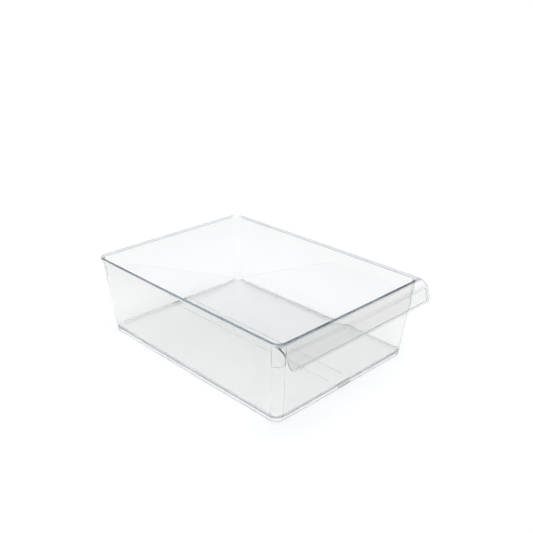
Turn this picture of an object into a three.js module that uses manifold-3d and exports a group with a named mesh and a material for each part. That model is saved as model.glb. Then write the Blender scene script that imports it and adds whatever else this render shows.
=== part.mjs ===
// Clear refrigerator bin: one injection-moulded tub with a full-width handle flap.
// Millimetres, +Z up, origin on the table under the middle of the bin, handle included.
// The handle is at the front, towards -Y. X runs across the handle.
// The functions below work about the middle of the tub; the finished bin is moved at the end.

import * as THREE from 'three';
import { mergeVertices } from 'three/addons/utils/BufferGeometryUtils.js';
import Module from 'manifold-3d';

// ---- Driving dimensions ----------------------------------------------------

const RIM_WIDTH = 243;       // outside of the rim, along X
const RIM_LENGTH = 333;      // outside of the rim, along Y, without the handle
const HEIGHT = 103;          // table to the flat top of the rim

const WALL = 2.2;            // wall thickness
const SIDE_LEAN = 8.5;       // how far a side wall leans in from rim to foot
const END_LEAN = 11;         // how far the front and back walls lean in
const WALL_RADIUS = 11.5;    // outside radius of the upright corners
const BOTTOM_ROUND = 3;      // rounding where the walls turn under the floor
const CAVITY_ROUND = 3;      // rounding between the inner walls and the floor
const FLOOR = 2.4;           // floor thickness

const LIP_REACH = 1.4;       // rim lip beyond the wall
const LIP_HEIGHT = 2.6;      // rim lip, and the thickness of the handle flap
const LIP_RADIUS = 15;       // outside corner radius of the lip
const EDGE = 0.4;            // small break on the exposed edges

const FOOT_HEIGHT = 3.8;     // perimeter foot that lifts the floor off the shelf
const FOOT_INSET = 0.7;      // foot set in from the wall
const FOOT_WIDTH = 3;        // width of the flat the bin stands on
const FOOT_RADIUS = 11;      // outside corner radius of the foot
const NOTCH_WIDTH = 20;      // drain notch at the middle of the front and back foot
const NOTCH_HEIGHT = 2.6;

const CORNER_STEP = 0.3;     // the rounded corners stand this far behind the flat walls
const LEDGE_HEIGHT = 73;     // above this the corners are cut back, leaving a crescent ledge
const LEDGE_DEPTH = 1;       // width of the ledge at the middle of a corner

const RIB_OFFSET = 12;       // two fine ribs under the floor, at plus and minus this X
const RIB_WIDTH = 1.2;
const RIB_HEIGHT = 1.2;
const RIB_LENGTH = 276;

const CURL_RADIUS = 16;      // outside radius of the handle's curl
const CURL_START = 3.5;      // the curl starts this far behind the rim's front edge
const FLAP_TURN = (70 * Math.PI) / 180;    // the curl turns this far, then the flap runs straight
const FLAP_DROP = 24.2;      // rim top to the lower edge of the handle
const FLAP_TAPER = 0.1;      // how much each end leans in for every millimetre down
const FLAP_CORNER = 7;       // rounding of the handle's two lower corners
const PANEL_DEPTH = 1;       // shallow panel sunk into the front of the flap
const PANEL_TOP = 7.7;       // top of the panel below the rim top
const PANEL_END_MARGIN = 5;
const PANEL_FOOT_MARGIN = 2.6;

const ARC_STEPS = 6;         // curve steps per corner, doubled by three.js for arcs
const ROUND_STEPS = 5;       // levels across a small rounding
const OVERLAP = 1;           // joined solids run this far into each other

const FLOOR_TOP = FOOT_HEIGHT + FLOOR;
const RIM_FRONT = -RIM_LENGTH / 2;

// ---- Helpers ---------------------------------------------------------------

const wasm = await Module();
wasm.setup();

// Closed three.js geometry to a solid that can be joined and cut.
function solid(geometry) {
  const bare = geometry.clone();
  bare.deleteAttribute('normal');
  bare.deleteAttribute('uv');
  const merged = mergeVertices(bare, 1e-4);
  return new wasm.Manifold(new wasm.Mesh({
    numProp: 3,
    vertProperties: new Float32Array(merged.getAttribute('position').array),
    triVerts: new Uint32Array(merged.getIndex().array),
  }));
}

function geometryOf(body) {
  const mesh = body.getMesh();
  const geometry = new THREE.BufferGeometry();
  geometry.setAttribute('position', new THREE.BufferAttribute(new Float32Array(mesh.vertProperties), 3));
  geometry.setIndex(new THREE.BufferAttribute(new Uint32Array(mesh.triVerts), 1));
  geometry.computeVertexNormals();
  return geometry;
}

function roundedRectangle(halfX, halfY, radius) {
  const shape = new THREE.Shape();
  shape.moveTo(-halfX + radius, -halfY);
  shape.lineTo(halfX - radius, -halfY);
  shape.absarc(halfX - radius, -halfY + radius, radius, -Math.PI / 2, 0);
  shape.lineTo(halfX, halfY - radius);
  shape.absarc(halfX - radius, halfY - radius, radius, 0, Math.PI / 2);
  shape.lineTo(-halfX + radius, halfY);
  shape.absarc(-halfX + radius, halfY - radius, radius, Math.PI / 2, Math.PI);
  shape.lineTo(-halfX, -halfY + radius);
  shape.absarc(-halfX + radius, -halfY + radius, radius, Math.PI, 1.5 * Math.PI);
  return shape;
}

// How far the outside of the walls stands in from the rim's outside at height z.
function wallInset(z) {
  const fall = (HEIGHT - z) / (HEIGHT - FOOT_HEIGHT);
  return { x: LIP_REACH + SIDE_LEAN * fall, y: LIP_REACH + END_LEAN * fall };
}

// An outline swept up through the given levels. Each level is [height, extra inset],
// and insetAt gives the inset in X and Y that every level has at its height.
function swept(outline, levels, insetAt) {
  const steps = levels.length - 1;
  const geometry = new THREE.ExtrudeGeometry(outline, {
    depth: steps, steps, bevelEnabled: false, curveSegments: ARC_STEPS,
  });
  const position = geometry.getAttribute('position');
  for (let i = 0; i < position.count; i += 1) {
    const [z, extra] = levels[Math.round(position.getZ(i))];
    const inset = insetAt(z);
    const x = position.getX(i);
    const y = position.getY(i);
    position.setXYZ(
      i,
      x - Math.sign(x) * (inset.x + extra),
      y - Math.sign(y) * (inset.y + extra),
      z,
    );
  }
  return solid(geometry);
}

// A rounded rectangle that follows the lean of the walls.
function drafted(radius, levels) {
  return swept(roundedRectangle(RIM_WIDTH / 2, RIM_LENGTH / 2, radius), levels, wallInset);
}

// Levels of a convex bottom rounding that starts flat at z0 and ends upright.
function bottomRounding(z0, radius, extra) {
  const levels = [];
  for (let i = 0; i <= ROUND_STEPS; i += 1) {
    const turn = (Math.PI / 2) * (i / ROUND_STEPS);
    levels.push([z0 + radius * (1 - Math.cos(turn)), extra + radius * (1 - Math.sin(turn))]);
  }
  return levels;
}

function block(x0, x1, y0, y1, z0, z1) {
  const geometry = new THREE.BoxGeometry(x1 - x0, y1 - y0, z1 - z0);
  geometry.translate((x0 + x1) / 2, (y0 + y1) / 2, (z0 + z1) / 2);
  return solid(geometry);
}

// A closed outline in the Y-Z plane, swept along X between plus and minus halfX.
function sweptAcross(points, halfX) {
  const shape = new THREE.Shape(points.map(([y, z]) => new THREE.Vector2(y, z)));
  const geometry = new THREE.ExtrudeGeometry(shape, { depth: 2 * halfX, bevelEnabled: false });
  // Shape axes (y, z, sweep) become world axes (Y, Z, X): a plain cyclic turn.
  const turn = new THREE.Matrix4().makeBasis(
    new THREE.Vector3(0, 1, 0), new THREE.Vector3(0, 0, 1), new THREE.Vector3(1, 0, 0),
  );
  geometry.applyMatrix4(turn);
  geometry.translate(-halfX, 0, 0);
  return solid(geometry);
}

// ---- Tub -------------------------------------------------------------------

function walls() {
  return drafted(WALL_RADIUS, [
    ...bottomRounding(FOOT_HEIGHT, BOTTOM_ROUND, 0),
    [HEIGHT - EDGE, 0],
  ]);
}

function cavity() {
  return drafted(WALL_RADIUS - WALL, [
    ...bottomRounding(FLOOR_TOP, CAVITY_ROUND, WALL),
    [HEIGHT - EDGE, WALL],
    [HEIGHT + OVERLAP, WALL - EDGE - OVERLAP],
  ]);
}

// The lip stands upright: a plain slab round the top with broken edges.
function lip() {
  const under = HEIGHT - LIP_HEIGHT;
  const levels = [[under, EDGE], [under + EDGE, 0], [HEIGHT - EDGE, 0], [HEIGHT, EDGE]];
  return swept(roundedRectangle(RIM_WIDTH / 2, RIM_LENGTH / 2, LIP_RADIUS), levels, () => ({ x: 0, y: 0 }));
}

// The foot runs up into the walls, past the height where the outsides of the two meet.
function foot() {
  const top = FOOT_HEIGHT + 0.6 * BOTTOM_ROUND;
  const outer = drafted(FOOT_RADIUS, [
    [0, FOOT_INSET + EDGE],
    [EDGE, FOOT_INSET],
    [top, FOOT_INSET],
  ]);
  const inner = drafted(FOOT_RADIUS - FOOT_WIDTH, [
    [-OVERLAP, FOOT_INSET + FOOT_WIDTH],
    [top, FOOT_INSET + FOOT_WIDTH],
  ]);
  const farEnd = RIM_LENGTH / 2;
  const notch = block(
    -NOTCH_WIDTH / 2, NOTCH_WIDTH / 2, -farEnd, farEnd, -OVERLAP, NOTCH_HEIGHT,
  );
  return outer.subtract(inner).subtract(notch);
}

// Takes a layer off the outside of one upright corner between two heights.
// depthAt gives the layer's thickness along the corner's turn, from 0 to a quarter turn.
function cornerCut(signX, signY, bottom, top, depthAt) {
  const beyond = WALL_RADIUS + 2 * LIP_REACH + OVERLAP;
  const points = [];
  const steps = 2 * ARC_STEPS;
  for (let i = 0; i <= steps; i += 1) {
    const turn = (Math.PI / 2) * (i / steps);
    const radius = WALL_RADIUS - depthAt(turn);
    points.push([radius * Math.cos(turn), radius * Math.sin(turn)]);
  }
  points.push([0, beyond], [beyond, beyond], [beyond, 0]);
  const shape = new THREE.Shape(points.map(([x, y]) => new THREE.Vector2(signX * x, signY * y)));
  const geometry = new THREE.ExtrudeGeometry(shape, { depth: 1, bevelEnabled: false });
  const position = geometry.getAttribute('position');
  for (let i = 0; i < position.count; i += 1) {
    const z = position.getZ(i) < 0.5 ? bottom : top;
    const inset = wallInset(z);
    position.setXYZ(
      i,
      position.getX(i) + signX * (RIM_WIDTH / 2 - inset.x - WALL_RADIUS),
      position.getY(i) + signY * (RIM_LENGTH / 2 - inset.y - WALL_RADIUS),
      z,
    );
  }
  return solid(geometry);
}

// Both layers of a corner: the fine step over its whole height and the cut above the ledge.
function cornerRelief(signX, signY) {
  const lipUnderside = HEIGHT - LIP_HEIGHT + EDGE;
  const step = cornerCut(signX, signY, FOOT_HEIGHT - OVERLAP, lipUnderside, () => CORNER_STEP);
  const ledge = cornerCut(signX, signY, LEDGE_HEIGHT, lipUnderside, (turn) => (
    CORNER_STEP + LEDGE_DEPTH * Math.sin(2 * turn) ** 2
  ));
  return step.add(ledge);
}

function floorRib(x) {
  return block(
    x - RIB_WIDTH / 2, x + RIB_WIDTH / 2,
    -RIB_LENGTH / 2, RIB_LENGTH / 2,
    FOOT_HEIGHT - RIB_HEIGHT, FOOT_HEIGHT + FLOOR / 2,
  );
}

// ---- Handle ----------------------------------------------------------------

// A point of the flap, inwards from its front face by depth: round the curl by turn,
// then straight on by the given distance.
function flapPoint(depth, turn, straight = 0) {
  const radius = CURL_RADIUS - depth;
  return [
    RIM_FRONT + CURL_START - radius * Math.sin(turn) - straight * Math.cos(turn),
    HEIGHT - CURL_RADIUS + radius * Math.cos(turn) - straight * Math.sin(turn),
  ];
}

// Length of the straight part, from the end of the curl to the lower edge.
function straightLength() {
  const [, curlEnd] = flapPoint(LIP_HEIGHT / 2, FLAP_TURN);
  return (curlEnd - HEIGHT + FLAP_DROP) / Math.sin(FLAP_TURN);
}

function flapFace(depth, fromTurn, straight) {
  const points = [];
  const steps = 4 * ARC_STEPS;
  for (let i = 0; i <= steps; i += 1) {
    points.push(flapPoint(depth, fromTurn + (FLAP_TURN - fromTurn) * (i / steps)));
  }
  points.push(flapPoint(depth, FLAP_TURN, straight));
  return points;
}

function handle() {
  const length = straightLength();
  const back = RIM_FRONT + LIP_RADIUS + OVERLAP;
  const profile = [
    [back, HEIGHT],
    ...flapFace(0, 0, length - EDGE),
    flapPoint(EDGE, FLAP_TURN, length),
    flapPoint(LIP_HEIGHT - EDGE, FLAP_TURN, length),
    ...flapFace(LIP_HEIGHT, 0, length - EDGE).reverse(),
    [back, HEIGHT - LIP_HEIGHT],
  ];
  const flap = sweptAcross(profile, RIM_WIDTH / 2).intersect(handleOutline(0));

  const panelTurn = Math.acos((CURL_RADIUS - PANEL_TOP) / CURL_RADIUS);
  const panelLength = length - PANEL_FOOT_MARGIN;
  const panelProfile = [
    ...flapFace(-OVERLAP, panelTurn, panelLength),
    ...flapFace(PANEL_DEPTH, panelTurn, panelLength).reverse(),
  ];
  const panel = sweptAcross(panelProfile, RIM_WIDTH / 2).intersect(handleOutline(PANEL_END_MARGIN));
  return flap.subtract(panel);
}

// The top of the front rim, which the handle's curl replaces.
function frontTrim() {
  const farX = RIM_WIDTH / 2 + OVERLAP;
  return block(
    -farX, farX, RIM_FRONT - OVERLAP, RIM_FRONT + CURL_START, HEIGHT - LIP_HEIGHT, HEIGHT + OVERLAP,
  );
}

// Front view of the handle, set in by the given amount at each end: the ends lean in
// and the two lower corners are rounded.
function handleOutline(inset) {
  const halfTop = RIM_WIDTH / 2 - inset;
  const bottom = HEIGHT - FLAP_DROP - OVERLAP;
  const halfBottom = halfTop - FLAP_TAPER * (HEIGHT - bottom);
  const corner = FLAP_CORNER + OVERLAP;
  const side = halfBottom + FLAP_TAPER * corner;
  const shape = new THREE.Shape();
  shape.moveTo(halfTop, HEIGHT + OVERLAP);
  shape.lineTo(-halfTop, HEIGHT + OVERLAP);
  shape.lineTo(-halfTop, HEIGHT);
  shape.lineTo(-side, bottom + corner);
  shape.quadraticCurveTo(-halfBottom, bottom, -halfBottom + corner, bottom);
  shape.lineTo(halfBottom - corner, bottom);
  shape.quadraticCurveTo(halfBottom, bottom, side, bottom + corner);
  shape.lineTo(halfTop, HEIGHT);
  const depth = 3 * LIP_RADIUS;
  const geometry = new THREE.ExtrudeGeometry(shape, { depth, bevelEnabled: false, curveSegments: ARC_STEPS });
  geometry.rotateX(Math.PI / 2);
  geometry.translate(0, RIM_FRONT + LIP_RADIUS + 2 * OVERLAP, 0);
  return solid(geometry);
}

// ---- The bin ---------------------------------------------------------------

function bin() {
  let body = walls();
  for (const [signX, signY] of [[1, 1], [-1, 1], [-1, -1], [1, -1]]) {
    body = body.subtract(cornerRelief(signX, signY));
  }
  body = body.add(lip()).subtract(frontTrim()).add(handle()).subtract(cavity()).add(foot());
  return body.add(floorRib(-RIB_OFFSET)).add(floorRib(RIB_OFFSET));
}

const clearPlastic = new THREE.MeshStandardMaterial({
  color: 0xf1f4f4, roughness: 0.06, metalness: 0, transparent: true, opacity: 0.35,
});

const body = new THREE.Mesh(geometryOf(bin()), clearPlastic);
body.name = 'bin_body';

// Bring the middle of the whole length, from the handle's front to the back rim, over the origin.
body.geometry.computeBoundingBox();
body.position.y = -body.geometry.boundingBox.getCenter(new THREE.Vector3()).y;

const group = new THREE.Group();
group.add(body);

export default group;
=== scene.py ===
"""Looks for the clear refrigerator bin: a fine mesh of the moulding, its plastic and a plain studio."""

import math

import bmesh
import bpy
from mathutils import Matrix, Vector


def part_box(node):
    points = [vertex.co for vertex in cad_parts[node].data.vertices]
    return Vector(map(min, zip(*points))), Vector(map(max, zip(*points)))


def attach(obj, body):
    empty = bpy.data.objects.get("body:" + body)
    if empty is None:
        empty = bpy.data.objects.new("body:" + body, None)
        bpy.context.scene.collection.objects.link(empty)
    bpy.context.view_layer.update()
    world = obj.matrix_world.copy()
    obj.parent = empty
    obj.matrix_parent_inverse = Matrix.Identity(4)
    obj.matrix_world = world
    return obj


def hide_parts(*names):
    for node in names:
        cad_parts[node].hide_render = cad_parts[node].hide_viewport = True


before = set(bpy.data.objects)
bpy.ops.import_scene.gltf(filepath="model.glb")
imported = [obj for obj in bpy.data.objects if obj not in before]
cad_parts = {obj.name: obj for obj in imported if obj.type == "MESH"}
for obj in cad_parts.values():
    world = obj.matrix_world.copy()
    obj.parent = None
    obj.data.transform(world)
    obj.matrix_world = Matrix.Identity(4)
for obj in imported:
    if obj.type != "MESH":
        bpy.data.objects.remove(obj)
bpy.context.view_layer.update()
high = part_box("bin_body")[1]

# ---- Driving dimensions, millimetres ----------------------------------------
# The outside sizes come from the frame. The rest are the moulding's own small sizes.

MM = 0.001
HALF_WIDTH = high[0] / MM          # outside of the rim, along X
HALF_LENGTH = 166.5                # outside of the rim, along Y, without the handle
HEIGHT = high[2] / MM
RIM_FRONT = -HALF_LENGTH
TUB_MIDDLE = high[1] / MM - HALF_LENGTH    # the shapes below are built about the tub's middle

WALL = 2.2
SIDE_LEAN = 8.5                    # how far the side walls lean in from rim to foot
END_LEAN = 11.0
WALL_RADIUS = 11.5
BOTTOM_ROUND = 3.0
CAVITY_ROUND = 3.0                 # inside rounding between walls and floor
FLOOR = 2.4

LIP_REACH = 1.4
LIP_HEIGHT = 2.6
LIP_RADIUS = 15.0
EDGE_ROUND = 0.5                   # rounding of the exposed rim edges
LIP_FILLET = 0.5                   # inside rounding between wall and lip

FOOT_HEIGHT = 3.8
FOOT_INSET = 0.7                   # foot set in from the wall
FOOT_WIDTH = 3.0
FOOT_FILLET = 0.8                  # rounding between the foot and the underside of the floor
NOTCH_WIDTH = 20.0                 # drain notches at the middle of the front and back foot
NOTCH_HEIGHT = 2.6
NOTCH_ROUND = 1.0

CORNER_STEP = 0.3                  # the rounded corners stand this far behind the flat walls
CORNER_RAMP = 0.10                 # part of the corner's turn taken by each edge of that step
LEDGE_HEIGHT = 73.0                # above this the corners are cut back, leaving a crescent ledge
LEDGE_DEPTH = 1.0                  # width of the ledge at the middle of a corner
LEDGE_EDGE = 0.15                  # height over which the ledge turns in

RIB_OFFSET = 12.0                  # two fine ribs under the floor, at plus and minus this X
RIB_WIDTH = 1.2
RIB_HEIGHT = 1.2
RIB_LENGTH = 276.0

CURL_RADIUS = 16.0                 # outside radius of the handle's curl
CURL_START = 3.5                   # the curl starts this far behind the rim's front
FLAP_TURN = math.radians(70.0)     # the curl turns this far, then the flap runs straight
FLAP_DROP = 24.2                   # rim top to the lower edge of the handle
FLAP_TAPER = 0.10                  # how much each end leans in for every millimetre down
FLAP_CORNER = 7.0
PANEL_DEPTH = 1.0                  # shallow panel sunk into the front of the flap
PANEL_TOP = 7.7                    # top of the panel below the rim top
PANEL_END_MARGIN = 5.0
PANEL_FOOT_MARGIN = 2.6
PANEL_EDGE = 0.8                   # width of the panel's rounded step

CROWN = 0.8                        # the long walls bulge this far at mid length
END_CROWN = 0.4                    # and the end walls this far at mid width

CORNER_STEPS = 20                  # points round each upright corner
SIDE_STEPS = 14                    # points along each straight side
ROUND_STEPS = 6                    # points across a small rounding
SHARP_ANGLE = math.radians(35.0)   # edges that turn more than this shade as creases

FLOOR_TOP = FOOT_HEIGHT + FLOOR


# ---- Small helpers ----------------------------------------------------------

def spread(start, end, count):
    """Evenly spaced values from start to end, both included."""
    return [start + (end - start) * i / count for i in range(count + 1)]


def smooth(value):
    """Smooth step from 0 to 1 for a value going from 0 to 1."""
    value = min(max(value, 0.0), 1.0)
    return value * value * (3.0 - 2.0 * value)


def crowned(x, y):
    """Moulded walls are never quite straight: push a point out by the slight crown."""
    along = max(0.0, 1.0 - (y / HALF_LENGTH) ** 2)
    across = max(0.0, 1.0 - (x / HALF_WIDTH) ** 2)
    near_side = smooth((abs(x) / HALF_WIDTH - 0.5) / 0.35)
    near_end = smooth((abs(y) / HALF_LENGTH - 0.5) / 0.35)
    out_x = math.copysign(CROWN * along * near_side, x)
    out_y = math.copysign(END_CROWN * across * near_end, y)
    return x + out_x, y + out_y


def mesh_object(name, points, faces):
    """A Blender object from points in millimetres, with the crown put in."""
    mesh = bpy.data.meshes.new(name)
    placed = []
    for x, y, z in points:
        px, py = crowned(x, y)
        placed.append((px * MM, (py + TUB_MIDDLE) * MM, z * MM))
    mesh.from_pydata(placed, [], faces)
    mesh.validate()
    mesh.update()
    piece = bpy.data.objects.new(name, mesh)
    bpy.context.scene.collection.objects.link(piece)
    return piece


def loft(name, rings):
    """A closed skin over rings that have the same number of points, capped at both ends."""
    size = len(rings[0])
    points = [point for ring in rings for point in ring]
    faces = []
    for level in range(len(rings) - 1):
        for i in range(size):
            j = (i + 1) % size
            a = level * size
            b = a + size
            faces.append((a + i, a + j, b + j, b + i))
    faces.append(tuple(reversed(range(size))))
    last = (len(rings) - 1) * size
    faces.append(tuple(range(last, last + size)))
    return mesh_object(name, points, faces)


def combine(target, tool, operation):
    """Join or cut target with tool, and remove the tool."""
    modifier = target.modifiers.new("combine", "BOOLEAN")
    modifier.operation = operation
    modifier.object = tool
    modifier.solver = "MANIFOLD"
    graph = bpy.context.evaluated_depsgraph_get()
    result = bpy.data.meshes.new_from_object(target.evaluated_get(graph))
    target.modifiers.clear()
    old = target.data
    target.data = result
    bpy.data.meshes.remove(old)
    tool_mesh = tool.data
    bpy.data.objects.remove(tool)
    bpy.data.meshes.remove(tool_mesh)


# ---- The tub ----------------------------------------------------------------

def wall_half(z):
    """Half sizes of the outside of the walls at height z."""
    fall = (HEIGHT - z) / (HEIGHT - FOOT_HEIGHT)
    return (
        HALF_WIDTH - LIP_REACH - SIDE_LEAN * fall,
        HALF_LENGTH - LIP_REACH - END_LEAN * fall,
    )


def corner_turns():
    """Fractions of a corner's turn, closer together at the edges of the corner step."""
    inner = spread(CORNER_RAMP, 1.0 - CORNER_RAMP, CORNER_STEPS - 8)
    ramp = [CORNER_RAMP * part for part in (0.0, 0.2, 0.4, 0.6, 0.8)]
    return ramp + inner + [1.0 - turn for turn in reversed(ramp)]


def corner_cut(turn, step, ledge):
    """How far a corner stands behind its plain arc: the fine step and the cut above the ledge."""
    plateau = smooth(turn / CORNER_RAMP) * smooth((1.0 - turn) / CORNER_RAMP)
    return step * plateau + ledge * math.sin(math.pi * turn) ** 2


def rectangle_ring(z, half_x, half_y, radius, step=0.0, ledge=0.0):
    """A rounded rectangle, anticlockwise from the +X side, with its corners cut back."""
    corners = []
    for index, (sign_x, sign_y) in enumerate([(1, 1), (-1, 1), (-1, -1), (1, -1)]):
        centre_x = sign_x * (half_x - radius)
        centre_y = sign_y * (half_y - radius)
        corner = []
        for turn in corner_turns():
            angle = math.pi / 2 * (index + turn)
            reach = radius - corner_cut(turn, step, ledge)
            corner.append((centre_x + reach * math.cos(angle), centre_y + reach * math.sin(angle), z))
        corners.append(corner)
    ring = []
    for index, corner in enumerate(corners):
        following = corners[(index + 1) % 4]
        ring.extend(corner)
        start, end = corner[-1], following[0]
        for part in spread(0.0, 1.0, SIDE_STEPS)[1:-1]:
            ring.append(tuple(s + (e - s) * part for s, e in zip(start, end)))
    return ring


def wall_ring(z, inset, radius=WALL_RADIUS, step=0.0, ledge=0.0):
    """A ring that stands in from the outside of the walls."""
    half_x, half_y = wall_half(z)
    return rectangle_ring(z, half_x - inset, half_y - inset, radius - inset, step, ledge)


def lip_ring(z, inset):
    """The lip; at the front it stops short, because the handle takes its place there."""
    ring = rectangle_ring(z, HALF_WIDTH - inset, HALF_LENGTH - inset, LIP_RADIUS - inset)
    return [(x, max(y, RIM_FRONT + CURL_START), z) for x, y, z in ring]


def foot_rings():
    """From the underside of the floor, round the foot, up to the bottom of the walls."""
    inner = FOOT_INSET + FOOT_WIDTH
    rings = []
    for angle in spread(0.0, math.pi / 2, ROUND_STEPS):
        z = FOOT_HEIGHT - FOOT_FILLET * (1.0 - math.cos(angle))
        rings.append(wall_ring(z, inner + FOOT_FILLET * (1.0 - math.sin(angle))))
    for angle in spread(0.0, math.pi / 2, ROUND_STEPS):
        z = EDGE_ROUND * (1.0 - math.sin(angle))
        rings.append(wall_ring(z, inner - EDGE_ROUND * (1.0 - math.cos(angle))))
    for angle in spread(0.0, math.pi / 2, ROUND_STEPS):
        z = EDGE_ROUND * (1.0 - math.cos(angle))
        rings.append(wall_ring(z, FOOT_INSET + EDGE_ROUND * (1.0 - math.sin(angle))))
    return rings


def outside_rings():
    """Up the outside of the walls to the lip."""
    rings = []
    start = math.asin(1.0 - FOOT_INSET / BOTTOM_ROUND)
    for angle in spread(start, math.pi / 2, ROUND_STEPS):
        z = FOOT_HEIGHT + BOTTOM_ROUND * (1.0 - math.cos(angle))
        inset = BOTTOM_ROUND * (1.0 - math.sin(angle))
        rings.append(wall_ring(z, inset, step=CORNER_STEP * smooth((z - FOOT_HEIGHT) / BOTTOM_ROUND)))
    wall_foot = FOOT_HEIGHT + BOTTOM_ROUND
    for z in spread(wall_foot + 0.6, LEDGE_HEIGHT, 9):
        rings.append(wall_ring(z, 0.0, step=CORNER_STEP))
    for part in spread(0.0, 1.0, ROUND_STEPS)[1:]:
        z = LEDGE_HEIGHT + LEDGE_EDGE * part
        rings.append(wall_ring(z, 0.0, step=CORNER_STEP, ledge=LEDGE_DEPTH * smooth(part)))
    under = HEIGHT - LIP_HEIGHT
    for z in spread(LEDGE_HEIGHT + 1.0, under - LIP_FILLET - 0.4, 4):
        rings.append(wall_ring(z, 0.0, step=CORNER_STEP, ledge=LEDGE_DEPTH))
    for angle in spread(0.0, math.pi / 2, ROUND_STEPS):
        z = under - LIP_FILLET * (1.0 - math.sin(angle))
        rings.append(wall_ring(z, -LIP_FILLET * (1.0 - math.cos(angle))))
    return rings


def lip_rings():
    """Round the lip: underside edge, outside face and top edge."""
    under = HEIGHT - LIP_HEIGHT
    rings = []
    for angle in spread(0.0, math.pi / 2, ROUND_STEPS):
        z = under + EDGE_ROUND * (1.0 - math.cos(angle))
        rings.append(lip_ring(z, EDGE_ROUND * (1.0 - math.sin(angle))))
    for angle in spread(0.0, math.pi / 2, ROUND_STEPS):
        z = HEIGHT - EDGE_ROUND * (1.0 - math.sin(angle))
        rings.append(lip_ring(z, EDGE_ROUND * (1.0 - math.cos(angle))))
    return rings


def cavity_rings():
    """Up the inside, from the floor to the rounded inner edge of the rim and out above it."""
    rings = []
    for angle in spread(0.0, math.pi / 2, ROUND_STEPS + 2):
        z = FLOOR_TOP + CAVITY_ROUND * (1.0 - math.cos(angle))
        rings.append(wall_ring(z, WALL + CAVITY_ROUND * (1.0 - math.sin(angle))))
    for z in spread(FLOOR_TOP + CAVITY_ROUND + 0.6, HEIGHT - EDGE_ROUND - 0.6, 12):
        rings.append(wall_ring(z, WALL))
    for angle in spread(0.0, math.pi / 2, ROUND_STEPS):
        z = HEIGHT - EDGE_ROUND * (1.0 - math.sin(angle))
        rings.append(wall_ring(z, WALL - EDGE_ROUND * (1.0 - math.cos(angle))))
    rings.append(wall_ring(HEIGHT + 1.0, WALL - EDGE_ROUND))
    return rings


def tub():
    """The outside of the tub and its foot, still solid inside."""
    return loft("bin_moulding", foot_rings() + outside_rings() + lip_rings())


# ---- The handle flap --------------------------------------------------------

FLAP_HALF = LIP_HEIGHT / 2
PANEL_TURN = math.acos((CURL_RADIUS - PANEL_TOP) / CURL_RADIUS)


def clustered(values, centre, span):
    """The values, with five more packed closely round centre, sorted."""
    extra = [centre + span * part for part in (-0.5, -0.25, 0.0, 0.25, 0.5)]
    return sorted(list(values) + extra)


def flap_stations():
    """Middle of the flap's thickness from the rim round the curl to the lower edge.

    Each station is (y, z, turn, left), where left is the distance to the lower edge."""
    centre_y = RIM_FRONT + CURL_START
    centre_z = HEIGHT - CURL_RADIUS
    middle = CURL_RADIUS - FLAP_HALF
    stations = []
    for y in spread(RIM_FRONT + LIP_RADIUS, centre_y, 4)[:-1]:
        stations.append((y, HEIGHT - FLAP_HALF, 0.0, FLAP_DROP))
    for turn in clustered(spread(0.0, FLAP_TURN, 26), PANEL_TURN, PANEL_EDGE / CURL_RADIUS):
        y = centre_y - middle * math.sin(turn)
        z = centre_z + middle * math.cos(turn)
        stations.append((y, z, turn, FLAP_DROP))
    length = (z - HEIGHT + FLAP_DROP) / math.sin(FLAP_TURN)
    corner = [FLAP_CORNER * (1.0 - math.cos(angle)) for angle in spread(0.4, math.pi / 2, 8)]
    tip = [EDGE_ROUND * (1.0 - math.cos(angle)) for angle in spread(0.0, math.pi / 2, 5)]
    distances = clustered(corner + tip + [length * 0.75, length * 0.9], PANEL_FOOT_MARGIN, PANEL_EDGE)
    for left in reversed(distances):
        gone = length - left
        stations.append((y - gone * math.cos(FLAP_TURN), z - gone * math.sin(FLAP_TURN), FLAP_TURN, left))
    return stations


def flap_half_width(z, left):
    """Half width of the flap, with leaning ends and rounded lower corners."""
    short = max(0.0, FLAP_CORNER - left)
    rounding = FLAP_CORNER - math.sqrt(FLAP_CORNER ** 2 - short ** 2)
    return HALF_WIDTH - FLAP_TAPER * (HEIGHT - z) - rounding


def across_positions(half_width):
    """Places across a face of the flap from +X to -X, packed closely at the panel's ends."""
    from_end = clustered([1.2, 3.0, 8.0, 13.0, 20.0], PANEL_END_MARGIN, PANEL_EDGE)
    inner = half_width - from_end[-1]
    right = [half_width - inset for inset in from_end] + [inner * part / 6 for part in (5, 4, 3, 2, 1)]
    return right + [0.0] + [-x for x in reversed(right)]


def flap_ring(station):
    """Section of the flap at a station: the outer face from +X to -X, then the inner face back."""
    y, z, turn, left = station
    half_width = flap_half_width(z, left)
    thin = max(0.0, EDGE_ROUND - left)
    half_thick = FLAP_HALF - EDGE_ROUND + math.sqrt(EDGE_ROUND ** 2 - thin ** 2)
    edge = min(EDGE_ROUND, 0.9 * half_thick)
    across = across_positions(half_width)

    def panel_dip(x):
        end = (half_width - abs(x) - PANEL_END_MARGIN) / PANEL_EDGE + 0.5
        top = (turn - PANEL_TURN) * CURL_RADIUS / PANEL_EDGE + 0.5
        foot = (left - PANEL_FOOT_MARGIN) / PANEL_EDGE + 0.5
        return PANEL_DEPTH * smooth(end) * smooth(top) * smooth(foot)

    outline = []
    for quarter, (side, face) in enumerate([(1, 1), (-1, 1), (-1, -1), (1, -1)]):
        for angle in spread(quarter * math.pi / 2, (quarter + 1) * math.pi / 2, ROUND_STEPS):
            x = side * (half_width - edge) + edge * math.cos(angle)
            outline.append((x, face * (half_thick - edge) + edge * math.sin(angle)))
        if quarter == 0:
            outline.extend((x, half_thick - panel_dip(x)) for x in across)
        if quarter == 2:
            outline.extend((x, -half_thick) for x in reversed(across))
    return [(x, y - out * math.sin(turn), z + out * math.cos(turn)) for x, out in outline]


def handle():
    """The curl and the flap, with the panel sunk into the outer face."""
    return loft("handle_tool", [flap_ring(station) for station in flap_stations()])


# ---- Notches and ribs -------------------------------------------------------

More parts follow.
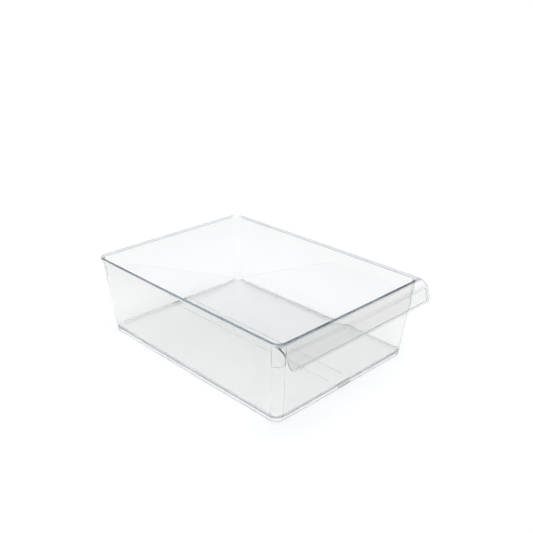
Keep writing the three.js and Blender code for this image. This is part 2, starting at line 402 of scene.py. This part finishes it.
def foot_notches():
    """One bar through both ends of the foot, with rounded upper edges."""
    half = NOTCH_WIDTH / 2
    profile = [(-half, -2.0)]
    for angle in spread(0.0, math.pi / 2, ROUND_STEPS):
        profile.append((
            -half + NOTCH_ROUND * (1.0 - math.cos(angle)),
            NOTCH_HEIGHT - NOTCH_ROUND * (1.0 - math.sin(angle)),
        ))
    mirrored = [(-x, z) for x, z in reversed(profile)]
    outline = profile + mirrored
    rings = [[(x, y, z) for x, z in outline] for y in (HALF_LENGTH, -HALF_LENGTH)]
    return loft("notch_tool", rings)


def floor_rib(x):
    """A fine rib with a rounded lower edge, standing down from the floor."""
    half = RIB_WIDTH / 2
    top = FOOT_HEIGHT + FLOOR / 2
    centre_z = FOOT_HEIGHT - RIB_HEIGHT + half
    profile = [(x - half, top)]
    for angle in spread(math.pi, 2 * math.pi, 2 * ROUND_STEPS):
        profile.append((x + half * math.cos(angle), centre_z + half * math.sin(angle)))
    profile.append((x + half, top))
    rings = [[(px, y, pz) for px, pz in profile] for y in (RIB_LENGTH / 2, -RIB_LENGTH / 2)]
    return loft("rib_tool", rings)


def build_bin():
    """The whole moulding: tub and handle, hollowed and notched, with the ribs under the floor."""
    piece = tub()
    combine(piece, handle(), "UNION")
    combine(piece, loft("cavity_tool", cavity_rings()), "DIFFERENCE")
    combine(piece, foot_notches(), "DIFFERENCE")
    combine(piece, floor_rib(-RIB_OFFSET), "UNION")
    combine(piece, floor_rib(RIB_OFFSET), "UNION")
    for polygon in piece.data.polygons:
        polygon.use_smooth = True
    mark_sharp_edges(piece)
    even = piece.modifiers.new("even_normals", "WEIGHTED_NORMAL")
    even.mode = "FACE_AREA"
    even.weight = 80
    even.keep_sharp = True
    return piece


def mark_sharp_edges(piece):
    """Only true creases stay sharp; roundings shade smoothly."""
    working = bmesh.new()
    working.from_mesh(piece.data)
    for edge in working.edges:
        edge.smooth = len(edge.link_faces) == 2 and edge.calc_face_angle(0.0) < SHARP_ANGLE
    working.to_mesh(piece.data)
    working.free()


# ---- Materials --------------------------------------------------------------

# Painted shade in the plastic's colour: lighter near the foot, greyer towards the rim, darker in the lip
# and the flap, darkest at the root of the handle.
LOW_PAINTED_SHADE = (1.0, 0.995, 0.985, 1.0)        # painted shade, lightest: walls near the foot
HIGH_PAINTED_SHADE = (0.925, 0.92, 0.908, 1.0)      # painted shade, greyer: walls near the rim
RIM_PAINTED_SHADE = (0.875, 0.885, 0.895, 1.0)      # painted shade on the lip, seen edge on
FRONT_RIM_PAINTED_SHADE = (0.50, 0.53, 0.57, 1.0)   # painted shade, darkest of all, at the thick root of the handle
# painted shade on the curl and the flap
FLAP_PAINTED_SHADE = (0.86, 0.86, 0.85, 1.0)

# Places where one painted shade gives way to the next, millimetres.
WALL_BLEND = (15.0, 95.0)                  # heights between the low and the high painted shade
LIP_BLEND = (-0.3, 0.3)                    # heights about the underside of the lip
FRONT_RIM_BLEND = (6.0, 4.5)               # behind the front of the rim
FLAP_BLEND = (0.5, -3.0)                   # from just behind the front of the rim onto the curl

CONTOUR = 0.60                             # painted shade: darkening where a face is seen almost edge on
CONTOUR_FACING = (0.55, 0.85)              # turned away this much: 0 faces the viewer, 1 is edge on

POLISHED = 0.015                           # roughness of the clean moulded faces
HANDLED = 0.04                             # where hands and shelves have dulled them
TEXTURED = 0.35                            # underside of the floor

REFRACTION = 1.55                          # refractive index of a clear packaging plastic
BODY_COLOUR = (0.63, 0.69, 0.72, 1.0)      # what is left of white light after a long way through
ABSORPTION = 17.0                          # per metre
WAVE_SCALE = 22.0                          # mould waviness, cycles per metre
WAVE_DEPTH = 0.0006
WAVE_STRENGTH = 0.06
MARK_SCALE = 60.0                          # handling marks, cycles per metre
FLOOR_WHITE = 0.965


def blend(nodes, links, value, base, span, before, after):
    """A colour going from before to after while value crosses the span, measured from base."""
    step = nodes.new("ShaderNodeMapRange")
    step.inputs["From Min"].default_value = (base + span[0]) * MM
    step.inputs["From Max"].default_value = (base + span[1]) * MM
    links.new(value, step.inputs["Value"])
    mix = nodes.new("ShaderNodeMix")
    mix.data_type = "RGBA"
    links.new(step.outputs["Result"], mix.inputs["Factor"])
    for socket, colour in (("A", before), ("B", after)):
        if isinstance(colour, tuple):
            mix.inputs[socket].default_value = colour
        else:
            links.new(colour, mix.inputs[socket])
    return mix.outputs["Result"]


def plastic_painted_shade(nodes, links, place):
    """Painted shade in the plastic's colour: greyer towards the rim, in the lip and in the flap."""
    split = nodes.new("ShaderNodeSeparateXYZ")
    links.new(place, split.inputs["Vector"])
    height = split.outputs["Z"]
    along = split.outputs["Y"]
    front = TUB_MIDDLE + RIM_FRONT
    under = HEIGHT - LIP_HEIGHT
    # painted shade: the walls greyer towards the rim
    walls = blend(nodes, links, height, 0.0, WALL_BLEND, LOW_PAINTED_SHADE, HIGH_PAINTED_SHADE)
    # painted shade: the lip darkest at the root of the handle
    lip = blend(nodes, links, along, front, FRONT_RIM_BLEND, RIM_PAINTED_SHADE, FRONT_RIM_PAINTED_SHADE)
    # painted shade in the lip, above its underside
    rimmed = blend(nodes, links, height, under, LIP_BLEND, walls, lip)
    # painted shade on the curl and the flap
    tint = blend(nodes, links, along, front, FLAP_BLEND, rimmed, FLAP_PAINTED_SHADE)
    return contour_painted_shade(nodes, links, tint)


def contour_painted_shade(nodes, links, tint):
    """The tint with painted shade: darker where the surface turns away from the viewer, standing in for
    the dark edges clear plastic shows.
    """
    turned = nodes.new("ShaderNodeLayerWeight")
    turned.inputs["Blend"].default_value = 0.5
    shade = nodes.new("ShaderNodeMapRange")
    shade.interpolation_type = "SMOOTHSTEP"
    links.new(turned.outputs["Facing"], shade.inputs["Value"])
    shade.inputs["From Min"].default_value = CONTOUR_FACING[0]
    shade.inputs["From Max"].default_value = CONTOUR_FACING[1]
    shade.inputs["To Min"].default_value = 1.0
    shade.inputs["To Max"].default_value = CONTOUR
    scaled = nodes.new("ShaderNodeVectorMath")
    scaled.operation = "SCALE"
    links.new(tint, scaled.inputs[0])
    links.new(shade.outputs["Result"], scaled.inputs["Scale"])
    return scaled.outputs["Vector"]


def surface_roughness(nodes, links, place):
    """Glossy with faint handling marks; the underside of the floor is lightly textured."""
    marks = nodes.new("ShaderNodeTexNoise")
    marks.inputs["Scale"].default_value = MARK_SCALE
    marks.inputs["Detail"].default_value = 4.0
    links.new(place, marks.inputs["Vector"])
    wear = nodes.new("ShaderNodeMapRange")
    links.new(marks.outputs["Fac"], wear.inputs["Value"])
    wear.inputs["From Min"].default_value = 0.45
    wear.inputs["From Max"].default_value = 0.75
    wear.inputs["To Min"].default_value = POLISHED
    wear.inputs["To Max"].default_value = HANDLED
    split = nodes.new("ShaderNodeSeparateXYZ")
    links.new(place, split.inputs["Vector"])
    on_underside = nodes.new("ShaderNodeMath")
    on_underside.operation = "COMPARE"
    links.new(split.outputs["Z"], on_underside.inputs[0])
    on_underside.inputs[1].default_value = FOOT_HEIGHT * MM
    on_underside.inputs[2].default_value = 0.05 * MM
    roughness = nodes.new("ShaderNodeMix")
    links.new(on_underside.outputs["Value"], roughness.inputs["Factor"])
    links.new(wear.outputs["Result"], roughness.inputs["A"])
    roughness.inputs["B"].default_value = TEXTURED
    return roughness.outputs["Result"]


def clear_plastic():
    """Clear moulded plastic with a faint blue-grey body, painted shade in its colour, mould waviness and
    handling marks.
    """
    material = bpy.data.materials.new("clear_plastic")
    material.use_nodes = True
    nodes = material.node_tree.nodes
    links = material.node_tree.links
    shader = nodes["Principled BSDF"]
    shader.inputs["Transmission Weight"].default_value = 1.0
    shader.inputs["IOR"].default_value = REFRACTION

    place = nodes.new("ShaderNodeTexCoord")
    position = place.outputs["Object"]
    # painted shade in the base colour
    links.new(plastic_painted_shade(nodes, links, position), shader.inputs["Base Color"])
    links.new(surface_roughness(nodes, links, position), shader.inputs["Roughness"])
    waves = nodes.new("ShaderNodeTexNoise")
    waves.inputs["Scale"].default_value = WAVE_SCALE
    waves.inputs["Detail"].default_value = 1.5
    links.new(position, waves.inputs["Vector"])
    bump = nodes.new("ShaderNodeBump")
    bump.inputs["Strength"].default_value = WAVE_STRENGTH
    bump.inputs["Distance"].default_value = WAVE_DEPTH
    links.new(waves.outputs["Fac"], bump.inputs["Height"])
    links.new(bump.outputs["Normal"], shader.inputs["Normal"])

    absorb = nodes.new("ShaderNodeVolumeAbsorption")
    absorb.inputs["Color"].default_value = BODY_COLOUR
    absorb.inputs["Density"].default_value = ABSORPTION
    links.new(absorb.outputs["Volume"], nodes["Material Output"].inputs["Volume"])
    return material


def floor_material():
    """Plain matt white for the studio floor."""
    material = bpy.data.materials.new("studio_floor")
    material.use_nodes = True
    shader = material.node_tree.nodes["Principled BSDF"]
    shader.inputs["Base Color"].default_value = (FLOOR_WHITE, FLOOR_WHITE, FLOOR_WHITE, 1.0)
    shader.inputs["Roughness"].default_value = 0.6
    return material


# ---- Studio -----------------------------------------------------------------

FLOOR_HALF = 60.0                          # metres, so its edge is far out of sight
FLOOR_GAP = 0.0002                         # the floor lies just clear of the foot


def studio_floor():
    """A wide flat floor under the bin."""
    half = FLOOR_HALF
    mesh = bpy.data.meshes.new("studio_floor")
    corners = [(-half, -half, 0.0), (half, -half, 0.0), (half, half, 0.0), (-half, half, 0.0)]
    mesh.from_pydata(corners, [], [(0, 1, 2, 3)])
    ground = bpy.data.objects.new("studio_floor", mesh)
    ground.location.z = -FLOOR_GAP
    bpy.context.scene.collection.objects.link(ground)
    mesh.materials.append(floor_material())


def soft_patch(nodes, links, direction, aim, radius, edge):
    """A round patch of sky about aim, 1 inside the radius (degrees) and 0 beyond its soft edge."""
    towards = nodes.new("ShaderNodeVectorMath")
    towards.operation = "DOT_PRODUCT"
    links.new(direction, towards.inputs[0])
    towards.inputs[1].default_value = Vector(aim).normalized()
    step = nodes.new("ShaderNodeMapRange")
    step.interpolation_type = "SMOOTHSTEP"
    step.inputs["From Min"].default_value = math.cos(math.radians(radius + edge))
    step.inputs["From Max"].default_value = math.cos(math.radians(radius))
    links.new(towards.outputs["Value"], step.inputs["Value"])
    return step.outputs["Result"]


SOFTBOXES = [
    # aim, radius and soft edge in degrees, brightness, colour
    ((0.0, 0.0, 1.0), 24.0, 10.0, 2.15, (1.0, 0.99, 0.98)),
    ((-0.62, -0.52, 0.58), 20.0, 10.0, 1.6, (1.0, 0.99, 0.98)),
    ((0.735, -0.10, 0.67), 12.0, 12.0, 1.1, (1.0, 0.99, 0.98)),
]


SKY = [
    # height of the direction (0 level, 1 straight up) and colour
    (0.10, (1.0, 1.0, 1.0, 1.0)),
    (0.45, (0.56, 0.58, 0.60, 1.0)),
    (0.80, (0.12, 0.14, 0.18, 1.0)),
]


def studio_world():
    """White walls, a dim blue-grey ceiling and three round softboxes."""
    world = bpy.data.worlds.new("studio")
    bpy.context.scene.world = world
    world.use_nodes = True
    nodes = world.node_tree.nodes
    links = world.node_tree.links
    place = nodes.new("ShaderNodeTexCoord")
    direction = place.outputs["Generated"]
    split = nodes.new("ShaderNodeSeparateXYZ")
    links.new(direction, split.inputs["Vector"])
    ramp = nodes.new("ShaderNodeValToRGB")
    links.new(split.outputs["Z"], ramp.inputs["Fac"])
    stops = ramp.color_ramp.elements
    stops.remove(stops[1])
    stops[0].position, stops[0].color = SKY[0]
    for height, colour in SKY[1:]:
        stops.new(height).color = colour
    total = ramp.outputs["Color"]
    for aim, radius, edge, strength, colour in SOFTBOXES:
        patch = soft_patch(nodes, links, direction, aim, radius, edge)
        glow = nodes.new("ShaderNodeVectorMath")
        glow.operation = "SCALE"
        glow.inputs[0].default_value = [strength * part for part in colour]
        links.new(patch, glow.inputs["Scale"])
        adding = nodes.new("ShaderNodeVectorMath")
        adding.operation = "ADD"
        links.new(total, adding.inputs[0])
        links.new(glow.outputs["Vector"], adding.inputs[1])
        total = adding.outputs["Vector"]
    links.new(total, nodes["Background"].inputs["Color"])


CAMERA_PLACE = (-0.5762, -0.6184, 0.4632)  # metres from the middle of the tub
CAMERA_DOWN = 23.05                        # degrees below level
CAMERA_TURN = -44.08                       # degrees about the upright axis, 0 looks along +Y
CAMERA_LENS = 49.8


def camera():
    """A 50 mm lens above the front left corner, as in a catalogue view."""
    data = bpy.data.cameras.new("camera")
    data.lens = CAMERA_LENS
    data.sensor_width = 36.0
    viewer = bpy.data.objects.new("camera", data)
    x, y, z = CAMERA_PLACE
    viewer.location = (x, y + TUB_MIDDLE * MM, z)
    viewer.rotation_euler = (math.radians(90.0 - CAMERA_DOWN), 0.0, math.radians(CAMERA_TURN))
    bpy.context.scene.collection.objects.link(viewer)
    bpy.context.scene.camera = viewer


LIGHT_BOUNCES = 200                        # light caught in the clear edges needs a long way out


def look_settings():
    """Plain colours, and enough bounces for light that is guided along the walls."""
    scene = bpy.context.scene
    scene.view_settings.view_transform = "Standard"
    scene.cycles.max_bounces = LIGHT_BOUNCES
    scene.cycles.transmission_bounces = LIGHT_BOUNCES
    scene.cycles.glossy_bounces = LIGHT_BOUNCES
    scene.cycles.transparent_max_bounces = 16
    scene.cycles.caustics_reflective = True
    scene.cycles.caustics_refractive = True
    scene.cycles.blur_glossy = 0.0


bin_piece = build_bin()
bin_piece.data.materials.clear()
bin_piece.data.materials.append(clear_plastic())
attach(bin_piece, "root")
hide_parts("bin_body")

studio_floor()
studio_world()
camera()
look_settings()
